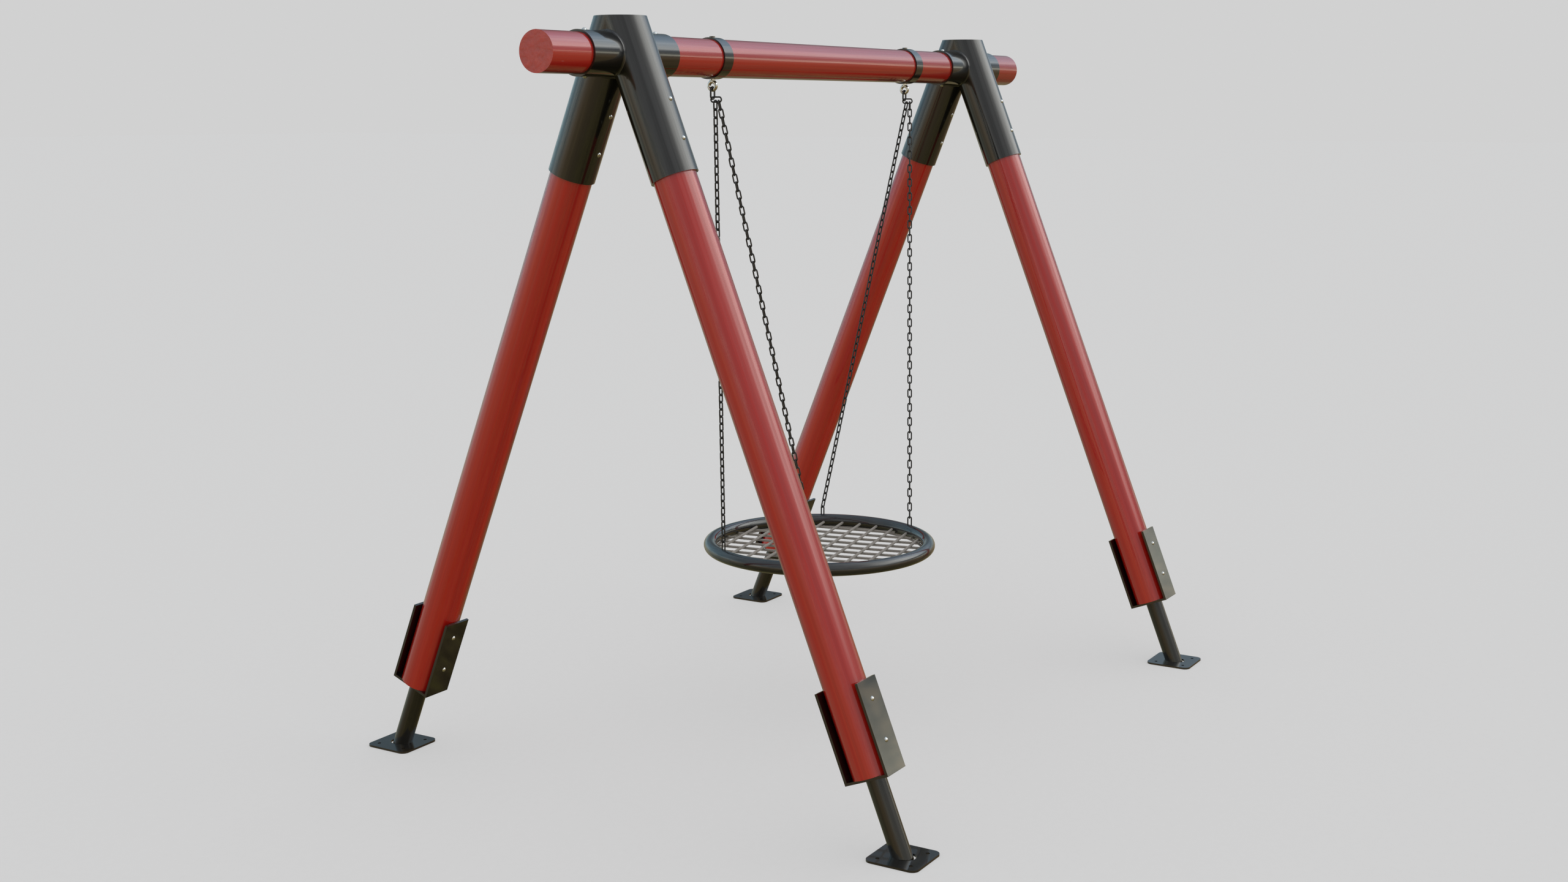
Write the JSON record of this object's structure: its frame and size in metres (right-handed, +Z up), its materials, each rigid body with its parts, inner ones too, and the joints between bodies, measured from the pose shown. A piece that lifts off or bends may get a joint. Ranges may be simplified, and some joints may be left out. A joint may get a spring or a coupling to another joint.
{
  "type": "nest swing",
  "caption": "Round rope-net nest seat on chains, hung from a red round beam between two A-frames with black steel heads and bolt-down feet.",
  "frame": {"origin": "on the ground, under the middle of the beam", "axes": "+X along the beam, from the near A-frame to the far one; +Y the way the seat swings; +Z up"},
  "size_m": [3.7, 2.5158, 2.884],
  "materials": {
    "red_pole": "gloss red paint over round timber",
    "black_steel": "gloss black powder coat",
    "seat_ring": "gloss dark grey coat",
    "black_chain": "satin black coat",
    "chromed_eye": "polished",
    "bright_bolt": "bright zinc",
    "rope": "matte braided polyester"
  },
  "bodies": {
    "frame": {"beam": "red_pole", "leg_near_right": "red_pole", "leg_near_left": "red_pole", "leg_far_right": "red_pole", "leg_far_left": "red_pole", "head_near": "black_steel", "head_far": "black_steel", "head_bolts_near": "bright_bolt", "head_bolts_far": "bright_bolt", "beam_bolts_near": "bright_bolt", "beam_bolts_far": "bright_bolt", "shoe_near_right": "black_steel", "shoe_near_left": "black_steel", "shoe_far_right": "black_steel", "shoe_far_left": "black_steel", "shoe_bolts_near_right": "bright_bolt", "shoe_bolts_near_left": "bright_bolt", "shoe_bolts_far_right": "bright_bolt", "shoe_bolts_far_left": "bright_bolt", "foot_near_right": "black_steel", "foot_near_left": "black_steel", "foot_far_right": "black_steel", "foot_far_left": "black_steel", "plate_near_right": "black_steel", "plate_near_left": "black_steel", "plate_far_right": "black_steel", "plate_far_left": "black_steel", "band_near": "black_steel", "band_far": "black_steel", "eye_bolt_near": "chromed_eye", "eye_bolt_far": "chromed_eye", "eye_nut_near": "black_steel", "eye_nut_far": "black_steel"},
    "swing": {"shackle_near": "black_chain", "shackle_far": "black_chain", "hang_link_near": "black_chain", "hang_link_far": "black_chain", "chain_near_right": "black_chain", "chain_near_left": "black_chain", "chain_far_right": "black_chain", "chain_far_left": "black_chain", "staple_near_right": "black_chain", "staple_near_left": "black_chain", "staple_far_right": "black_chain", "staple_far_left": "black_chain", "seat_ring": "seat_ring", "net_hoop": "rope", "net_ropes_long": "rope", "net_ropes_cross": "rope"}
  },
  "joints": [
    {"name": "swing", "type": "hinge", "parent": "frame", "child": "swing", "pos_m": [0, 0, 2.6433], "axis": [1, 0, 0], "range_deg": [-50, 50]}
  ]
}
